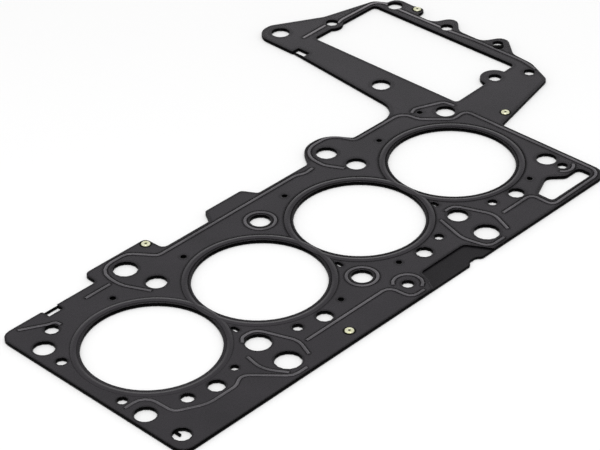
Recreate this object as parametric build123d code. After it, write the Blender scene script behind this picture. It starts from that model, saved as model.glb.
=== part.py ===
from build123d import *
import math
import os

# Cylinder head gasket of laminated steel for an in-line four, with a window frame for the timing cover.
# X runs along the row of cylinders from the first bore, Y across the head towards the rear edge, and Z up
# from the flat underside, below which only the crests of the lower beads and the rivets reach.
# All lengths are in millimetres.

os.makedirs("parts", exist_ok=True)

# Cylinders
CYLINDERS = 4
BORE_R = 42.5
BRIDGE = 6.0
PITCH = 2 * BORE_R + BRIDGE

# Sheets, and the gap that springs open below the top one while nothing clamps the stack.
# The spacer and the bottom sheet lie flat on each other and are drawn as one.
TOP_SHEET = 0.3
SPRING_GAP = 0.65
SPACER_SHEET = 1.15
BOTTOM_SHEET = 0.3

# Full bead round each bore, and the finer line beads
RING_BEAD_OFFSET = 3.9
RING_BEAD_HALF = 1.9
RING_BEAD_H = 0.4
LINE_BEAD_HALF = 0.9
LINE_BEAD_H = 0.35

# Furthest that the flats of a small round may lie from its arc.
# Rounds from TRUE_ROUND up, the bores and the bolt holes of the top sheet stay arcs.
ROUNDNESS = 0.23
TRUE_ROUND = 13.0

# Block plate: ends are measured from the first and the last bore, edges from the line of bores
LEFT_END = 55.7
RIGHT_END = 58.3
FRONT_EDGE = 85.1
REAR_EDGE = 68.6
REAR_EDGE_LEFT = 72.6
EDGE_STEP = 0.9
LEFT_CORNER_R = 8.0
RIGHT_CORNER_R = 10.0
REAR_TAB_EDGE = 84.5
LOW_TAB_EDGE = 78.9
BOSS_EDGE = 85.5
BOSS_R = 18.5

# Head bolt holes: the rear row lies a little further along than the bores, the front row a little less far
BOLT_R = 6.8
LARGE_BOLT_R = 8.2
LARGE_BOLT = 1
REAR_BOLT_Y = 45.1
FRONT_BOLT_Y = -44.4
REAR_SHIFT = 0.7
FRONT_SHIFT = -0.9

# Coolant passages along the front edge of every bore, in line with the front row of bolts
FRONT_PASSAGE_Y = -55.5
FRONT_PASSAGE_R = 5.3
SIDE_PASSAGE_X = 19.0
SIDE_PASSAGE_Y = -51.2
BRIDGE_SLOT_Y = -25.1
BRIDGE_SLOT_WIDTH = 3.2
BRIDGE_SLOT_LENGTH = 6.2
BRIDGE_SLOT_CHAMFER = 0.9
METERING_R = 1.9

# Window frame for the timing cover
WINDOW_LEFT = 60.5
WINDOW_RIGHT = 127.3
WINDOW_LOW = 47.1
WINDOW_HIGH = 182.9
WINDOW_CORNER_R = 3.0
INNER_BOSS_R = 10.6
INNER_LUG_R = 8.2
INNER_LUG_SHIFT = -0.6

# Oblong hole in the third boss of the frame, which a web of the lower sheets crosses
OBLONG_LENGTH = 12.4
OBLONG_WIDTH = 8.0
OBLONG_TURN = 45.0
WEB_WIDTH = 3.7

# Tongue that stands into the dowel hole below the top sheet
TONGUE_LENGTH = 4.4
TONGUE_WIDTH = 1.4

# Tag at the front edge where the top sheet is cut away, and its thickness notch
TAG_HIGH = -68.3
NOTCH_X = 14.3
NOTCH_DEPTH = 3.0
NOTCH_HALF = 3.2
NOTCH_SHOULDER = 2.6

# Rivets and the holes that they pass through
RIVET_SHANK_R = 1.5
RIVET_HEAD_R = 3.4
RIVET_HEAD_H = 0.25
RIVET_ROLL_H = 0.8
RIVET_CLEARANCE = 0.1

# Levels of the stack
LOWER_SHEETS = BOTTOM_SHEET + SPACER_SHEET
TOP_LOW = LOWER_SHEETS + SPRING_GAP
TOP_HIGH = TOP_LOW + TOP_SHEET


def at(bore, along, across, radius=0.0):
    """A corner or a round, placed along the row from one of the bores."""
    return (bore * PITCH + along, across, radius)


# Outline, anticlockwise from above: (x, y, corner radius)
LAST = CYLINDERS - 1
REAR_OUTLINE = [
    at(0, -LEFT_END, REAR_EDGE_LEFT + EDGE_STEP, LEFT_CORNER_R),
    at(0, -22.7, REAR_EDGE_LEFT + EDGE_STEP),
    at(0, -21.9, REAR_EDGE_LEFT),
    at(0, 21.6, REAR_EDGE_LEFT, 2.5),
    at(0, 21.6, REAR_TAB_EDGE, 4.0),
    at(0, 73.6, REAR_TAB_EDGE, 3.5),
    at(0, 74.2, REAR_EDGE, 4.0),
    at(1, 23.8, REAR_EDGE, 3.0),
    at(1, 29.8, LOW_TAB_EDGE, 2.5),
    at(1, 62.5, LOW_TAB_EDGE, 3.0),
    at(1, 68.3, REAR_EDGE, 3.0),
    at(2, 24.5, REAR_EDGE, 4.0),
    at(2, 36.3, BOSS_EDGE, BOSS_R),
    at(2, 58.9, BOSS_EDGE, BOSS_R),
    at(2, 68.9, REAR_EDGE, 3.5),
]
FRAME_OUTLINE = [
    at(LAST, 24.9, REAR_EDGE, 19.0),
    at(LAST, 36.2, 180.5),
    at(LAST, 35.5, 181.5),
    at(LAST, 36.0, 220.0, 13.0),
    at(LAST, 52.8, 220.0, 8.0),
    at(LAST, 88.8, 199.5, 15.0),
    at(LAST, 131.8, 188.7, 7.5),
    at(LAST, 136.7, 179.4, 2.0),
    at(LAST, 146.3, 178.7, 7.0),
    at(LAST, 145.7, 161.3, 3.0),
    at(LAST, 148.1, 150.9, 4.0),
    at(LAST, 136.6, 149.9, 2.5),
    at(LAST, 136.5, 134.5, 8.0),
    at(LAST, 154.2, 125.6, 6.4),
    at(LAST, 139.0, 111.4, 8.0),
    at(LAST, 138.7, 89.7, 8.0),
    at(LAST, 155.7, 79.8, 6.6),
    at(LAST, 139.1, 60.6, 8.0),
    at(LAST, 137.3, 42.1, 10.0),
    at(LAST, 127.0, 20.4, 5.5),
    at(LAST, RIGHT_END, 5.1, 1.5),
]
RIGHT_CORNER = at(LAST, RIGHT_END, -FRONT_EDGE, RIGHT_CORNER_R)
LEFT_CORNER = at(0, -LEFT_END, -FRONT_EDGE, LEFT_CORNER_R)
NOTCH = [
    at(2, NOTCH_X + NOTCH_HALF + NOTCH_SHOULDER, -FRONT_EDGE, 2.0),
    at(2, NOTCH_X + NOTCH_HALF, NOTCH_DEPTH - FRONT_EDGE, 2.5),
    at(2, NOTCH_X - NOTCH_HALF, NOTCH_DEPTH - FRONT_EDGE, 2.5),
    at(2, NOTCH_X - NOTCH_HALF - NOTCH_SHOULDER, -FRONT_EDGE, 2.0),
]
WINDOW = [
    at(LAST, WINDOW_LEFT, WINDOW_LOW, WINDOW_CORNER_R),
    at(LAST, WINDOW_RIGHT, WINDOW_LOW + 2.9, WINDOW_CORNER_R),
    at(LAST, WINDOW_RIGHT, WINDOW_HIGH + 0.8, WINDOW_CORNER_R),
    at(LAST, WINDOW_LEFT, WINDOW_HIGH, WINDOW_CORNER_R),
]
FRONT_OPENING = [
    at(LAST, 7.8, -78.3, 2.5),
    at(LAST, 50.1, -78.3, 3.0),
    at(LAST, 50.1, -67.0, 3.0),
    at(LAST, 36.6, -67.0, 5.0),
    at(LAST, 27.3, -57.7, 5.0),
    at(LAST, 7.8, -66.0, 2.0),
]
TAG_CUT = [
    at(1, 61.3, -FRONT_EDGE - 5.0),
    at(2, 34.3, -FRONT_EDGE - 5.0),
    at(2, 21.9, TAG_HIGH, 4.0),
    at(1, 71.9, TAG_HIGH, 3.0),
    at(1, 69.9, -75.5, 8.0),
]

# Passages through every sheet: (x, y, radius)
OIL_PASSAGES = [
    at(0, 42.6, 69.3, 7.8),
    at(2, 42.8, 69.0, 7.0),
    at(0, 44.3, -69.2, 8.4),
    at(2, 42.5, -70.0, 8.3),
]
FRAME_HOLES = [
    at(LAST, 43.3, 101.9, 6.6),
    at(LAST, 50.1, 206.9, 6.6),
    at(LAST, 137.1, 172.1, 5.6),
    at(LAST, 137.4, 121.6, 4.5),
    at(LAST, 126.5, 35.9, 3.9),
]
OBLONG_HOLE = at(LAST, 141.9, 76.9)
INNER_BOSS = at(LAST, 104.5, 49.1, 4.5)
INNER_LUG = at(LAST, 86.3, 189.2, 4.4)
COOLANT_PASSAGES = [
    at(0, -29.4, 55.8, 4.4),
    at(0, -46.2, 27.8, 3.4),
    at(0, -47.0, -25.5, 3.2),
    at(0, FRONT_SHIFT - SIDE_PASSAGE_X, SIDE_PASSAGE_Y, 4.1),
    at(0, FRONT_SHIFT + SIDE_PASSAGE_X, SIDE_PASSAGE_Y, 2.5),
    at(1, FRONT_SHIFT - SIDE_PASSAGE_X, SIDE_PASSAGE_Y, 3.3),
    at(1, 57.6, -70.4, 3.8),
    at(2, FRONT_SHIFT + SIDE_PASSAGE_X, SIDE_PASSAGE_Y, 3.1),
    at(3, FRONT_SHIFT - SIDE_PASSAGE_X, SIDE_PASSAGE_Y, 3.2),
    at(3, 45.0, -57.4, 3.4),
]
DOWEL_HOLE = at(0, -44.7, -72.4, 5.6)

# Metering holes in the top sheet alone: the sheet below closes them
METERING_HOLES = [
    at(0, 16.5, 52.2, METERING_R),
    at(1, -14.9, 52.2, METERING_R),
    at(2, -13.8, 53.4, METERING_R),
    at(3, -12.9, 53.4, METERING_R),
    at(3, 33.1, 57.2, METERING_R),
    at(1, FRONT_SHIFT + SIDE_PASSAGE_X, SIDE_PASSAGE_Y, METERING_R),
    at(2, FRONT_SHIFT - SIDE_PASSAGE_X, SIDE_PASSAGE_Y, METERING_R),
    at(3, FRONT_SHIFT + SIDE_PASSAGE_X, SIDE_PASSAGE_Y, METERING_R),
]

# Narrow slots close behind the outline, open to it in the top sheet:
# (centre x, centre y, size along X, size along Y, way out along X, way out along Y)
EDGE_SLOTS = [
    (-16.3, REAR_EDGE_LEFT - 3.4, 11.0, 4.8, 0.0, 4.0),
    (LAST * PITCH + 39.7, 175.6, 5.0, 11.0, -4.0, 0.0),
]

RIVETS = {
    "rivet_rear_tab": at(0, 69.7, 80.0),
    "rivet_front_edge": at(1, -1.9, -76.4),
    "rivet_frame_foot": at(LAST, 72.4, 13.6),
    "rivet_frame_lobe": at(LAST, 143.5, 155.9),
}

# Line beads of the two beaded sheets, each a chain of straight runs and tangent arcs
LINE_BEADS = [
    [at(0, -43.7, 70.1), at(0, -27.7, 61.1, 9.0), at(0, -22.9, 59.6, 2.5), at(0, -22.7, 55.3)],
    [at(0, 5.3, 64.5), at(0, 25.3, 64.5)],
    [
        at(0, 37.7, 40.5),
        at(0, 28.6, 59.8, 25.0),
        at(0, 30.3, 81.3, 12.5),
        at(0, 54.5, 81.3, 8.0),
        at(0, 66.6, 64.9, 5.0),
        at(2, 8.8, 65.2, 7.0),
        at(2, 15.3, 62.2, 5.0),
        at(2, 22.8, 63.0),
    ],
    [
        at(2, 36.9, 47.3),
        at(2, 30.5, 59.8, 10.0),
        at(2, 30.9, 82.5, 15.5),
        at(2, 61.1, 82.5, 13.0),
        at(2, 67.6, 65.9, 4.0),
        at(3, 24.3, 65.9, 9.0),
        at(3, 26.1, 51.8, 9.0),
        at(3, 41.7, 34.3, 6.0),
        at(3, RIGHT_END - 2.6, 35.0, 4.5),
        at(3, RIGHT_END - 2.6, -81.2, 8.5),
        at(3, 3.9, -81.9, 4.5),
        at(3, 3.9, -63.9, 4.5),
        at(2, 66.3, -63.9),
    ],
    [at(3, 28.8, 60.6), at(3, 33.8, 63.4, 6.0), at(3, 55.1, 53.9, 4.0), at(3, 55.9, 45.3)],
    [
        at(0, -50.7, -31.7),
        at(0, -35.1, -31.7, 9.0),
        at(0, -34.1, -54.3, 6.0),
        at(0, -15.7, -63.9, 22.0),
        at(0, 6.8, -63.9, 6.0),
        at(0, 15.5, -58.7, 6.0),
        at(0, 35.9, -81.9, 9.0),
        at(0, 46.8, -81.9),
    ],
    [at(0, 30.3, -49.7), at(0, 27.7, -63.7, 18.0), at(0, 36.3, -77.7)],
    [
        at(0, 37.9, -37.7),
        at(0, 41.8, -33.7, 4.0),
        at(0, 52.1, -33.7, 8.0),
        at(0, 62.1, -60.7, 13.0),
        at(0, 56.7, -74.2),
    ],
    [at(0, 65.3, -64.0), at(1, 47.1, -64.0, 6.0), at(1, 48.6, -81.7, 6.0), at(1, 59.8, -81.7)],
    [
        at(2, 33.1, -39.7),
        at(2, 26.7, -62.7, 18.0),
        at(2, 31.1, -81.9, 7.0),
        at(2, 45.3, -81.9),
    ],
    [at(2, 42.8, -35.1), at(2, 51.1, -35.1, 6.0), at(2, 61.3, -60.7, 14.0), at(2, 54.3, -77.7)],
    [at(LAST, 55.3, 189.1), at(LAST, 79.9, 189.9)],
    [
        at(LAST, 88.7, 185.3),
        at(LAST, 94.8, 187.3, 9.0),
        at(LAST, 134.5, 187.3, 9.0),
        at(LAST, 134.6, 117.3, 40.0),
        at(LAST, 136.3, 94.3, 40.0),
        at(LAST, 136.1, 49.3, 30.0),
        at(LAST, 132.8, 35.3),
    ],
]
# Full rings round single holes, and part rings: (centre x, centre y, radius), first angle, sweep
HOLE_RINGS = [
    at(1, PITCH / 2 + REAR_SHIFT, REAR_BOLT_Y, 9.8),
    at(1, PITCH / 2 + FRONT_SHIFT, FRONT_BOLT_Y, 9.8),
]
PART_RINGS = [
    (at(1, 58.2, -69.8, 9.3), -70, 215),
    (at(3, 45.3, -57.2, 7.4), 205, 120),
]


def flat_angle(radius):
    """The widest angle that one flat may span without leaving its arc by more than ROUNDNESS."""
    return 2 * math.degrees(math.acos(1 - ROUNDNESS / radius))


def rounded_path(corners, closed):
    """Lines through the corners (x, y, radius), where each radius is an arc or, if small, a run of flats."""
    edges = []
    stops = []
    count = len(corners)
    for i, (x, y, radius) in enumerate(corners):
        here = Vector(x, y)
        last = stops[-1] if stops else None
        bend = [here]
        rounds = radius and (closed or 0 < i < count - 1)
        if rounds:
            back = (Vector(*corners[i - 1][:2]) - here).normalized()
            ahead = (Vector(*corners[(i + 1) % count][:2]) - here).normalized()
            half = math.radians(back.get_angle(ahead) / 2)
            centre = here + (back + ahead).normalized() * (radius / math.sin(half))
            spoke = here + back * (radius / math.tan(half)) - centre
            turn = math.copysign(180 - 2 * math.degrees(half), ahead.cross(back).Z)
            flats = 2 if radius >= TRUE_ROUND else math.ceil(abs(turn) / flat_angle(radius))
            bend = [centre + spoke.rotate(Axis.Z, turn * k / flats) for k in range(flats + 1)]
        if last and (bend[0] - last).length > 1e-6:
            edges.append(Line(last, bend[0]))
        if rounds and radius >= TRUE_ROUND:
            edges.append(ThreePointArc(*bend))
        else:
            edges += [Line(a, b) for a, b in zip(bend, bend[1:])]
        stops += bend
    if closed:
        edges.append(Line(stops[-1], stops[0]))
    return edges


def area(corners):
    """The face inside a closed chain of corners."""
    return make_face(rounded_path(corners, True))


def true_round(x, y, radius):
    return Pos(x, y) * Circle(radius)


def flat_round(x, y, radius):
    """A many-sided hole whose flats touch the round of that radius from outside."""
    sides = math.ceil(math.pi / math.acos(radius / (radius + ROUNDNESS)))
    return Pos(x, y) * RegularPolygon(radius, sides, major_radius=False)


def ridge_section(half, height, depth):
    """Section of a bead: two straight flanks on a foot that reaches down into the sheet."""
    return make_face(Polyline((-half, -depth), (half, -depth), (half, 0), (0, height), (-half, 0), close=True))


def bead_along(edges, half, height, depth):
    """A bead swept along a path, mitred where flats meet."""
    path = Wire(edges)
    heading = path % 0
    start = Plane(path @ 0, x_dir=Vector(0, 0, 1).cross(heading), z_dir=heading)
    return sweep(start * ridge_section(half, height, depth), path=path, transition=Transition.RIGHT)


def bead_ring(x, y, radius, half, height, depth):
    """A bead turned all the way round a hole."""
    section = Plane.XZ * Pos(radius, 0) * ridge_section(half, height, depth)
    return Pos(x, y) * revolve(section, Axis.Z)


def arc_path(x, y, radius, first, turn):
    """The flats of a path that goes part of the way round a hole."""
    flats = math.ceil(abs(turn) / flat_angle(radius))
    spoke = Vector(radius, 0).rotate(Axis.Z, first)
    stops = [Vector(x, y) + spoke.rotate(Axis.Z, turn * k / flats) for k in range(flats + 1)]
    return [Line(a, b) for a, b in zip(stops, stops[1:])]


def bolt_positions():
    """Both rows of head bolt holes, one hole beyond each end of the row of bores and one in each bridge."""
    for i in range(CYLINDERS + 1):
        x = (i - 0.5) * PITCH
        yield x + REAR_SHIFT, REAR_BOLT_Y, BOLT_R
        yield x + FRONT_SHIFT, FRONT_BOLT_Y, LARGE_BOLT_R if i == LARGE_BOLT else BOLT_R


def window_area():
    """The window, less the boss and the lug that stand into it."""
    boss = true_round(INNER_BOSS[0], INNER_BOSS[1], INNER_BOSS_R)
    lug = true_round(INNER_LUG[0] + INNER_LUG_SHIFT, INNER_LUG[1] + INNER_LUG_SHIFT, INNER_LUG_R)
    return area(WINDOW) - boss - lug


def oblong():
    """The oblong hole of the third boss."""
    x, y, _ = OBLONG_HOLE
    long, wide = OBLONG_LENGTH / 2, OBLONG_WIDTH / 2
    corners = [(long, wide, wide - 0.1), (-long, wide, wide - 0.1), (-long, -wide, wide - 0.1), (long, -wide, wide - 0.1)]
    return Pos(x, y) * Rot(0, 0, OBLONG_TURN) * area(corners)


def web():
    """The web that crosses the oblong hole."""
    x, y, _ = OBLONG_HOLE
    return Pos(x, y) * Rot(0, 0, OBLONG_TURN) * Rectangle(WEB_WIDTH, OBLONG_WIDTH)


def tongue():
    """The tongue that stands into the dowel hole from its rear side."""
    x, y, radius = DOWEL_HOLE
    return Pos(x, y + radius + (ROUNDNESS - TONGUE_LENGTH) / 2) * Rectangle(TONGUE_WIDTH, TONGUE_LENGTH + ROUNDNESS)


def openings(bolt_round):
    """Every opening that all the sheets share, but for the dowel hole and the oblong hole."""
    faces = [true_round(i * PITCH, 0, BORE_R) for i in range(CYLINDERS)]
    faces += [bolt_round(*hole) for hole in bolt_positions()]
    passages = OIL_PASSAGES + FRAME_HOLES + COOLANT_PASSAGES + [INNER_BOSS, INNER_LUG]
    passages += [at(i, FRONT_SHIFT, FRONT_PASSAGE_Y, FRONT_PASSAGE_R) for i in range(CYLINDERS)]
    passages += [(x, y, RIVET_SHANK_R + RIVET_CLEARANCE) for x, y, _ in RIVETS.values()]
    faces += [flat_round(*hole) for hole in passages]
    slot = Rectangle(BRIDGE_SLOT_WIDTH, BRIDGE_SLOT_LENGTH)
    slot = chamfer(slot.vertices(), BRIDGE_SLOT_CHAMFER)
    faces += [Pos((i + 0.5) * PITCH + FRONT_SHIFT, BRIDGE_SLOT_Y) * slot for i in range(CYLINDERS - 1)]
    faces += [Pos(x, y) * Rectangle(along, across) for x, y, along, across, _, _ in EDGE_SLOTS]
    return faces + [window_area(), area(FRONT_OPENING)]


def beaded_sheet(corners, thickness, cuts, beads):
    """A sheet that lies on the XY plane, with beads standing on it, and openings cut through both."""
    plate = extrude(area(corners), thickness)
    punch = extrude(Sketch() + cuts, thickness + max(RING_BEAD_H, LINE_BEAD_H))
    return plate + [Pos(0, 0, thickness) * bead for bead in beads] - punch


def ring_beads(depth):
    """The full bead round each bore."""
    return [bead_ring(i * PITCH, 0, BORE_R + RING_BEAD_OFFSET, RING_BEAD_HALF, RING_BEAD_H, depth) for i in range(CYLINDERS)]


def line_beads(depth):
    """The line beads of the top sheet, with the rings and part rings round single holes."""
    size = (LINE_BEAD_HALF, LINE_BEAD_H, depth)
    paths = [rounded_path(chain, False) for chain in LINE_BEADS]
    paths += [arc_path(*centre, first, turn) for centre, first, turn in PART_RINGS]
    return [bead_along(edges, *size) for edges in paths] + [bead_ring(*centre, *size) for centre in HOLE_RINGS]


def rivet(x, y):
    """A tubular rivet, drawn solid: a shank through all the sheets, a thin flange below and a thick roll above."""
    shank = flat_round(x, y, RIVET_SHANK_R)
    head = flat_round(x, y, RIVET_HEAD_R)
    return extrude(shank, TOP_HIGH) + extrude(head, -RIVET_HEAD_H) + Pos(0, 0, TOP_HIGH) * extrude(head, RIVET_ROLL_H)


plain_outline = REAR_OUTLINE + FRAME_OUTLINE + [RIGHT_CORNER, LEFT_CORNER]
notched_outline = REAR_OUTLINE + FRAME_OUTLINE + [RIGHT_CORNER] + NOTCH + [LEFT_CORNER]
ways_out = [Pos(x + out, y + back) * Rectangle(along, across) for x, y, along, across, out, back in EDGE_SLOTS]
top_cuts = openings(true_round) + [flat_round(*hole) for hole in METERING_HOLES + [DOWEL_HOLE]] + ways_out
top_cuts += [area(TAG_CUT), oblong()]
lower_cuts = openings(flat_round) + [flat_round(*DOWEL_HOLE) - tongue(), oblong() - web()]
top_beads = ring_beads(TOP_SHEET / 2) + line_beads(TOP_SHEET / 2)
lower = beaded_sheet(notched_outline, LOWER_SHEETS, lower_cuts, ring_beads(BOTTOM_SHEET / 2))

nodes = {
    "top_beaded_sheet": Pos(0, 0, TOP_LOW) * beaded_sheet(plain_outline, TOP_SHEET, top_cuts, top_beads),
    "spacer_and_bottom_sheet": Pos(0, 0, LOWER_SHEETS) * mirror(lower, Plane.XY),
}
for name, place in RIVETS.items():
    nodes[name] = rivet(place[0], place[1])
for name, solid in nodes.items():
    print(name, len(solid.solids()), round(solid.volume, 1), solid.is_valid)
    export_step(solid, f"parts/{name}.step")
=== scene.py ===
import math

import bmesh
import bpy
from mathutils import Matrix, Vector


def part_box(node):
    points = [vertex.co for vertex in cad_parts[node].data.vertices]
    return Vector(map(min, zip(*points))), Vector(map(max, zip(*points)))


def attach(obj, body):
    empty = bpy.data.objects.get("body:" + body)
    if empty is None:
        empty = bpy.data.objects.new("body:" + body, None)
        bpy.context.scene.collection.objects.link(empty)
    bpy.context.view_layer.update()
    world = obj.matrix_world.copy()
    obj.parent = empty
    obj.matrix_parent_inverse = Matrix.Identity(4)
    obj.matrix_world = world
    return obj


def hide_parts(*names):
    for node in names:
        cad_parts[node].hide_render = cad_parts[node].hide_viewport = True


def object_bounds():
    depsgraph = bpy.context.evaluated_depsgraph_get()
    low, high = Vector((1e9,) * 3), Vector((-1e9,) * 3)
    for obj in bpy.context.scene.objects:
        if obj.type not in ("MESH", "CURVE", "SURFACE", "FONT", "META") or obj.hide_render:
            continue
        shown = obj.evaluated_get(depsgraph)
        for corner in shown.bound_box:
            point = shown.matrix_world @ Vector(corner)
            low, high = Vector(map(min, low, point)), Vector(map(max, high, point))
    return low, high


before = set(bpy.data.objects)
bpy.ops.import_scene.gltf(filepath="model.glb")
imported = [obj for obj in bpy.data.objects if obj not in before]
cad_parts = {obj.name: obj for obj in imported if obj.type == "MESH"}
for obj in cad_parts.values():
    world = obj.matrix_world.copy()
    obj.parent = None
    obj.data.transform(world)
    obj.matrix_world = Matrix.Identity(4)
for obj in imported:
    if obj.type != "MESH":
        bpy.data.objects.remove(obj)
cad_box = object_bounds()
rivet_names = [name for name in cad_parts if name.startswith("rivet")]

MM = 0.001

# The camera of the photograph, in the part's frame: where it stands, where it looks and its lens
CAMERA_AT = (-0.6745, -0.7823, 0.7820)
CAMERA_AZIMUTH = 44.294
CAMERA_ELEVATION = -34.07
CAMERA_ROLL = -1.15
CAMERA_LENS = 131.1
CAMERA_SENSOR = 36
CAMERA_CLIP = 0.05

# Studio: floor, what it looks brighter by, the surroundings by the height of the direction, and one soft lamp
FLOOR_SIZE = 8
FLOOR_GAP = 0.02 * MM
FLOOR_WHITE = 0.93
FLOOR_LIFT = 0.1
SURROUNDINGS = [(0.0, 1.0), (0.2, 0.92), (0.4, 0.55), (0.6, 0.42), (0.85, 0.68)]
LAMP_AT = (-0.7, -1.0, 2.6)
LAMP_AIM = (0.15, 0.05, 0)
LAMP_SIZE = 2.0
LAMP_POWER = 40

# Level of the top sheet's flat face
SHEET_TOP = 2.4 * MM

# Where the top sheet is cut away: the middle and half length along X, and the furthest Y. What lies there of the
# sheet below has this much of the coating's look, and the rest of it is painted black as shade
TAG_MIDDLE = 184 * MM
TAG_HALF = 34 * MM
TAG_REAR = -66 * MM
TAG_COAT = 0.45

# Colours of the coating: mottled faces, the line beads with a painted highlight, the brightest of these painted
# highlights, and the black of painted shade on cut edges and where else the coating is shaded
CLOUD_NOISE = {"Scale": 28.0, "Detail": 5.0, "Roughness": 0.6}
FACE_COLOURS = [(0.3, (0.0085, 0.008, 0.0095)), (0.7, (0.0165, 0.015, 0.018))]
BEAD_HIGHLIGHT_COLOURS = [(0.35, (0.05, 0.048, 0.052)), (0.65, (0.11, 0.105, 0.113))]
BRIGHTEST_HIGHLIGHT_COLOUR = (0.2, 0.19, 0.2)
SHADE_BLACK = (0.0008, 0.0008, 0.0008)

# Between these levels of Y the painted highlight on the line beads grows to its brightest
HIGHLIGHT_GROWS_FROM = 90 * MM
HIGHLIGHT_GROWS_TO = 130 * MM

# Gloss of the coating: where it is painted black as shade, what faces have more of it, its tint and its grain
SHADE_GLOSS = 0.03
FACE_GLOSS = 0.57
GLOSS_TINT = (0.98, 0.92, 1, 1)
GRAIN_NOISE = {"Scale": 900.0, "Detail": 3.0}
GRAIN_ROUGHNESS = [(0.3, 0.24), (0.7, 0.34)]
GRAIN_STRENGTH = 0.1
GRAIN_HEIGHT = 0.2 * MM

# What a surface is, by how level it lies: walls at 0, flanks of line beads at 0.932, of ring beads at 0.979
LEVEL_ENOUGH = [(0.3, 0.0), (0.6, 1.0)]
LINE_BEAD_FLANK = [(0.9, 0.0), (0.92, 1.0), (0.94, 1.0), (0.955, 0.0)]
FLAT_FACE = [(0.985, 0.0), (0.995, 1.0)]

# How far painted shade blackens the coating along a cut edge, growing from the front left corner to the rear of
# the frame between two distances along the diagonal of X and Y, and the bend of the normal that counts as such a
# rim
RIM_FRONT = -60 * MM
RIM_REAR = 260 * MM
RIM_REACH_FRONT = 2.0 * MM
RIM_REACH_REAR = 4.4 * MM
RIM_BEND = [(0.8, 1.0), (0.93, 0.0)]
RIM_SAMPLES = 8

# How far the flanks of a bead run softly into the face beside them
BEAD_SOFTNESS = 0.9 * MM
BEAD_SAMPLES = 6

# Painted shade: a dark ring on the top sheet round each rivet, from full to none
RIVET_SHADE_FROM = 3.8 * MM
RIVET_SHADE_TO = 4.4 * MM

# Brass of the rivets: the pale roll, the flange and eye painted dark as shade, and the tarnish on both
ROLL_BRASS = ((0.76, 0.76, 0.44), (0.97, 0.97, 0.76))
ROLL_METALLIC = 0.5
ROLL_GLOSS = 0.5
DARK_BRASS = ((0.008, 0.008, 0.002), (0.02, 0.02, 0.005))
DARK_METALLIC = 0.0
DARK_GLOSS = 0.08
TARNISH_NOISE = {"Scale": 600.0, "Detail": 4.0}
TARNISH_DARK = 0.35
TARNISH_LIGHT = 0.65
TARNISH_ROUGHNESS = [(0.3, 0.28), (0.7, 0.4)]

# Rivets as they really are: a tube with a thin flange below, and a flange painted dark as shade with a pale roll
# on it above
RIVET_FLANGE_R = 3.4 * MM
RIVET_ROLL_R = 2.85 * MM
RIVET_EYE_R = 0.7 * MM
RIVET_SHANK_R = 1.5 * MM
RIVET_FLANGE_H = 0.25 * MM
RIVET_CHAMFER = 0.1 * MM
RIVET_STEPS = 48

# Its cross-section over the sheet, from the shank over the roll into the eye: radius, height as a share of the
# roll's, and whether it is pale rather than painted dark as shade
RIVET_ABOVE = [
    (RIVET_SHANK_R, 0.02, False),
    (RIVET_FLANGE_R, 0.02, False),
    (RIVET_FLANGE_R, 0.12, False),
    (RIVET_ROLL_R, 0.17, True),
    (RIVET_ROLL_R - 0.03 * MM, 0.5, True),
    (RIVET_ROLL_R - 0.2 * MM, 0.78, True),
    (RIVET_ROLL_R - 0.5 * MM, 0.95, True),
    ((RIVET_ROLL_R + RIVET_EYE_R) / 2, 1.0, True),
    (RIVET_EYE_R + 0.45 * MM, 0.93, True),
    (RIVET_EYE_R + 0.15 * MM, 0.72, False),
    (RIVET_EYE_R, 0.4, False),
]

# The same under the sheets, from the eye to the shank, all of it pale: radius and height over the lowest point
RIVET_BELOW = [
    (RIVET_EYE_R, 0),
    (RIVET_FLANGE_R - RIVET_CHAMFER, 0),
    (RIVET_FLANGE_R, RIVET_CHAMFER),
    (RIVET_FLANGE_R, RIVET_FLANGE_H),
    (RIVET_SHANK_R, RIVET_FLANGE_H),
]


def new_material(name):
    """A material with an empty node tree but for its Principled shader."""
    material = bpy.data.materials.new(name)
    material.use_nodes = True
    return material, material.node_tree, material.node_tree.nodes["Principled BSDF"]


def node(tree, kind, **settings):
    """A node with its sockets and settings filled in by name."""
    made = tree.nodes.new(kind)
    for key, value in settings.items():
        if key in made.inputs:
            made.inputs[key].default_value = value
        else:
            setattr(made, key, value)
    return made


def fill(tree, socket, value):
    """Link a socket to another, or set it to a number or a colour."""
    if isinstance(value, tuple):
        socket.default_value = (*value, 1)
    elif isinstance(value, (int, float)):
        socket.default_value = value
    else:
        tree.links.new(value, socket)


def noise(tree, place, settings):
    """Noise over a place."""
    made = node(tree, "ShaderNodeTexNoise", **settings)
    tree.links.new(place, made.inputs["Vector"])
    return made.outputs["Fac"]


def ramp(tree, source, stops):
    """A colour ramp fed by a socket, with stops of (place, grey or colour)."""
    made = node(tree, "ShaderNodeValToRGB")
    band = made.color_ramp
    while len(band.elements) < len(stops):
        band.elements.new(0.5)
    for element, (place, colour) in zip(band.elements, stops):
        element.position = place
        element.color = (*colour, 1) if isinstance(colour, tuple) else (colour, colour, colour, 1)
    tree.links.new(source, made.inputs["Fac"])
    return made.outputs["Color"]


def math_node(tree, operation, *values):
    """An operation on numbers and sockets."""
    made = node(tree, "ShaderNodeMath", operation=operation)
    for socket, value in zip(made.inputs, values):
        fill(tree, socket, value)
    return made.outputs[0]


def product(tree, first, second):
    """Two values multiplied."""
    return math_node(tree, "MULTIPLY", first, second)


def rest_of_one(tree, value):
    """What a value leaves of one."""
    return math_node(tree, "SUBTRACT", 1, value)


def coordinates(tree, vector):
    """The X, Y and Z of a vector."""
    made = node(tree, "ShaderNodeSeparateXYZ")
    tree.links.new(vector, made.inputs["Vector"])
    return made.outputs


def dot(tree, first, second):
    """The dot product of a vector and another, or a fixed one."""
    made = node(tree, "ShaderNodeVectorMath", operation="DOT_PRODUCT")
    tree.links.new(first, made.inputs[0])
    if isinstance(second, tuple):
        made.inputs[1].default_value = second
    else:
        tree.links.new(second, made.inputs[1])
    return made.outputs["Value"]


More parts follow.
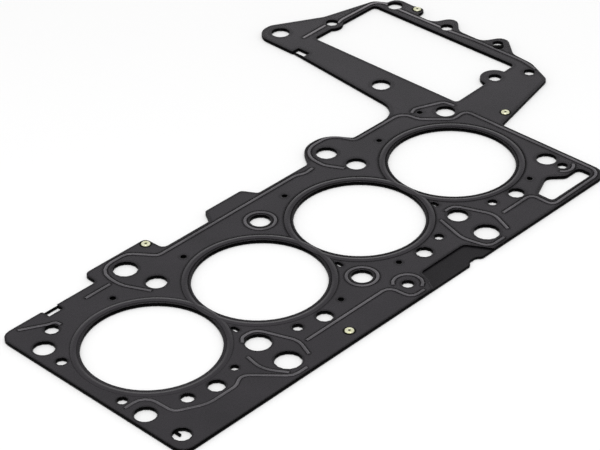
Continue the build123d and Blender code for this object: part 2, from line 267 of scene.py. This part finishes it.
def map_range(tree, source, old, new):
    """A value taken from one pair of limits to another, and held there."""
    made = node(tree, "ShaderNodeMapRange")
    tree.links.new(source, made.inputs["Value"])
    made.inputs["From Min"].default_value, made.inputs["From Max"].default_value = old
    made.inputs["To Min"].default_value, made.inputs["To Max"].default_value = new
    return made.outputs["Result"]


def blend(tree, factor, first, second):
    """A mix of two colours, each a socket or a colour."""
    made = node(tree, "ShaderNodeMix", data_type="RGBA")
    tree.links.new(factor, made.inputs["Factor"])
    fill(tree, made.inputs["A"], first)
    fill(tree, made.inputs["B"], second)
    return made.outputs["Result"]


def rim_shade_mask(tree, place, normal, levelness):
    """Painted shade: flat faces near a cut edge, where a rounded normal bends away from the true one."""
    diagonal = dot(tree, place, (math.sqrt(0.5), math.sqrt(0.5), 0))
    bevel = node(tree, "ShaderNodeBevel", samples=RIM_SAMPLES)
    reach = map_range(tree, diagonal, (RIM_FRONT, RIM_REAR), (RIM_REACH_FRONT, RIM_REACH_REAR))
    tree.links.new(reach, bevel.inputs["Radius"])
    bend = ramp(tree, dot(tree, bevel.outputs["Normal"], normal), RIM_BEND)
    return product(tree, bend, ramp(tree, levelness, FLAT_FACE))


def tag_mask(tree, where):
    """What the cut-away of the top sheet lays bare."""
    along = math_node(tree, "COMPARE", where["X"], TAG_MIDDLE, TAG_HALF)
    return product(tree, along, math_node(tree, "LESS_THAN", where["Y"], TAG_REAR))


def rivet_shade_rings(tree, place):
    """Where painted shade darkens the top sheet round the rivets."""
    nearest = 1.0
    for rivet in rivet_names:
        low, high = (Vector(corner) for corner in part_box(rivet))
        distance = node(tree, "ShaderNodeVectorMath", operation="DISTANCE")
        tree.links.new(place, distance.inputs[0])
        distance.inputs[1].default_value = ((low.x + high.x) / 2, (low.y + high.y) / 2, SHEET_TOP)
        nearest = math_node(tree, "MINIMUM", distance.outputs["Value"], nearest)
    return map_range(tree, nearest, (RIVET_SHADE_TO, RIVET_SHADE_FROM), (0.0, 1.0))


def coated_steel(name, covered):
    """Black elastomer coating: satin faces, a painted highlight on the paler line beads, and painted shade in
    dead black on cut edges, along their rims, round the rivets and on the covered sheet beyond its bare tag.
    """
    material, tree, shader = new_material(name)
    links = tree.links
    place = node(tree, "ShaderNodeTexCoord").outputs["Object"]
    where = coordinates(tree, place)
    normal = node(tree, "ShaderNodeNewGeometry").outputs["True Normal"]
    levelness = math_node(tree, "ABSOLUTE", coordinates(tree, normal)["Z"])

    # Painted shade along the rims of cut edges
    rim = rim_shade_mask(tree, place, normal, levelness)
    # Painted shade: walls, and flat faces along their rims, lose the coating's look and go black
    coat = product(tree, ramp(tree, levelness, LEVEL_ENOUGH), rest_of_one(tree, rim))
    # Painted shade: the covered sheet is black everywhere but the bare tag
    if covered:
        coat = product(tree, coat, product(tree, tag_mask(tree, where), TAG_COAT))
    else:
        # Painted shade round the rivets on the top sheet
        coat = product(tree, coat, rest_of_one(tree, rivet_shade_rings(tree, place)))

    cloud = noise(tree, place, CLOUD_NOISE)
    # Painted highlight: the flanks of the line beads take a paler colour, brightest towards the rear
    highlight_growth = ramp(tree, where["Y"], [(HIGHLIGHT_GROWS_FROM, 0.0), (HIGHLIGHT_GROWS_TO, 1.0)])
    bead = blend(tree, highlight_growth, ramp(tree, cloud, BEAD_HIGHLIGHT_COLOURS), BRIGHTEST_HIGHLIGHT_COLOUR)
    face = blend(tree, ramp(tree, levelness, LINE_BEAD_FLANK), ramp(tree, cloud, FACE_COLOURS), bead)
    # Painted shade: where the coating's share falls away, the colour goes to black
    links.new(blend(tree, coat, SHADE_BLACK, face), shader.inputs["Base Color"])

    gloss = math_node(tree, "MULTIPLY_ADD", coat, FACE_GLOSS, SHADE_GLOSS)
    links.new(gloss, shader.inputs["Specular IOR Level"])
    shader.inputs["Specular Tint"].default_value = GLOSS_TINT
    grain = noise(tree, place, GRAIN_NOISE)
    links.new(ramp(tree, grain, GRAIN_ROUGHNESS), shader.inputs["Roughness"])
    bump = node(tree, "ShaderNodeBump", Strength=GRAIN_STRENGTH, Distance=GRAIN_HEIGHT)
    links.new(grain, bump.inputs["Height"])
    soft = node(tree, "ShaderNodeBevel", samples=BEAD_SAMPLES, Radius=BEAD_SOFTNESS)
    links.new(soft.outputs["Normal"], bump.inputs["Normal"])
    links.new(bump.outputs["Normal"], shader.inputs["Normal"])
    return material


def rivet_brass(name, colours, metallic, gloss):
    """Brass with a little tarnish, from its dark to its light colour."""
    material, tree, shader = new_material(name)
    place = node(tree, "ShaderNodeTexCoord").outputs["Object"]
    tarnish = noise(tree, place, TARNISH_NOISE)
    dark, light = colours
    colour = ramp(tree, tarnish, [(TARNISH_DARK, dark), (TARNISH_LIGHT, light)])
    tree.links.new(colour, shader.inputs["Base Color"])
    tree.links.new(ramp(tree, tarnish, TARNISH_ROUGHNESS), shader.inputs["Roughness"])
    shader.inputs["Metallic"].default_value = metallic
    shader.inputs["Specular IOR Level"].default_value = gloss
    return material


def rolled_rivet(name, low, high, pale, dark):
    """A tube with both rims rolled over, turned round the middle of the CAD rivet's box."""
    centre = (low + high) / 2
    roll = high.z - SHEET_TOP
    profile = [(r, SHEET_TOP + share * roll, is_pale) for r, share, is_pale in RIVET_ABOVE]
    profile += [(r, low.z + height, True) for r, height in RIVET_BELOW]
    mesh = bmesh.new()
    rings = []
    for step in range(RIVET_STEPS):
        angle = 2 * math.pi * step / RIVET_STEPS
        out = Vector((math.cos(angle), math.sin(angle), 0))
        ring = [(centre.x + r * out.x, centre.y + r * out.y, z) for r, z, _ in profile]
        rings.append([mesh.verts.new(point) for point in ring])
    count = len(profile)
    for a, b in zip(rings, rings[1:] + rings[:1]):
        for i in range(count):
            j = (i + 1) % count
            face = mesh.faces.new((a[i], b[i], b[j], a[j]))
            face.material_index = 0 if profile[i][2] else 1
            face.smooth = profile[i][2] or profile[j][2]
    bmesh.ops.recalc_face_normals(mesh, faces=mesh.faces)
    data = bpy.data.meshes.new(name)
    mesh.to_mesh(data)
    mesh.free()
    data.materials.append(pale)
    data.materials.append(dark)
    made = bpy.data.objects.new(name, data)
    bpy.context.scene.collection.objects.link(made)
    return made


def white_floor():
    """A white floor just under the part, a little brighter to the eye than to the part."""
    lowest = cad_box[0][2]
    bpy.ops.mesh.primitive_plane_add(size=FLOOR_SIZE, location=(0, 0, lowest - FLOOR_GAP))
    floor = bpy.context.object
    floor.name = "floor"
    material, tree, shader = new_material("floor_paper")
    shader.inputs["Base Color"].default_value = (FLOOR_WHITE, FLOOR_WHITE, FLOOR_WHITE, 1)
    shader.inputs["Roughness"].default_value = 1.0
    shader.inputs["Specular IOR Level"].default_value = 0.0
    shader.inputs["Emission Color"].default_value = (1, 1, 1, 1)
    rays = node(tree, "ShaderNodeLightPath").outputs
    seen = math_node(tree, "MAXIMUM", rays["Is Camera Ray"], rays["Is Glossy Ray"])
    seen = math_node(tree, "MAXIMUM", seen, rays["Is Transmission Ray"])
    tree.links.new(product(tree, seen, FLOOR_LIFT), shader.inputs["Emission Strength"])
    floor.data.materials.append(material)


def surroundings():
    """Surroundings that are white at the horizon, grey half way up and paler again overhead."""
    world = bpy.data.worlds.new("surroundings")
    bpy.context.scene.world = world
    world.use_nodes = True
    tree = world.node_tree
    height = coordinates(tree, node(tree, "ShaderNodeTexCoord").outputs["Generated"])["Z"]
    tree.links.new(ramp(tree, height, SURROUNDINGS), tree.nodes["Background"].inputs["Color"])


def soft_lamp():
    """One broad lamp, high above the camera and a little behind it."""
    lamp = bpy.data.lights.new("soft_lamp", "AREA")
    lamp.shape = "DISK"
    lamp.size = LAMP_SIZE
    lamp.energy = LAMP_POWER
    made = bpy.data.objects.new("soft_lamp", lamp)
    made.location = LAMP_AT
    made.rotation_euler = (Vector(LAMP_AIM) - Vector(LAMP_AT)).to_track_quat("-Z", "Y").to_euler()
    bpy.context.scene.collection.objects.link(made)


def camera():
    """The camera, turned to its azimuth, elevation and roll."""
    data = bpy.data.cameras.new("camera")
    data.lens = CAMERA_LENS
    data.sensor_width = CAMERA_SENSOR
    data.clip_start = CAMERA_CLIP
    made = bpy.data.objects.new("camera", data)
    turn = Matrix.Rotation(math.radians(CAMERA_AZIMUTH - 90), 4, "Z")
    tilt = Matrix.Rotation(math.radians(90 + CAMERA_ELEVATION), 4, "X")
    roll = Matrix.Rotation(math.radians(CAMERA_ROLL), 4, "Z")
    made.matrix_world = Matrix.Translation(CAMERA_AT) @ turn @ tilt @ roll
    bpy.context.scene.collection.objects.link(made)
    bpy.context.scene.camera = made


brass = rivet_brass("rivet_brass_rolled", ROLL_BRASS, ROLL_METALLIC, ROLL_GLOSS)
# Painted shade: the rivets' flange and eye take a dark, dull copy of the brass
brass_in_painted_shade = rivet_brass("rivet_brass_painted_shade", DARK_BRASS, DARK_METALLIC, DARK_GLOSS)
finish = {
    "top_beaded_sheet": coated_steel("coated_steel_face", False),
    "spacer_and_bottom_sheet": coated_steel("coated_steel_covered", True),
}
for name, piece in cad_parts.items():
    for slot in piece.material_slots:
        slot.material = finish.get(name, brass)
for name in rivet_names:
    low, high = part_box(name)
    piece = rolled_rivet("rolled_" + name, Vector(low), Vector(high), brass, brass_in_painted_shade)
    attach(piece, "root")
    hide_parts(name)

white_floor()
surroundings()
soft_lamp()
camera()
bpy.context.scene.view_settings.view_transform = "Standard"
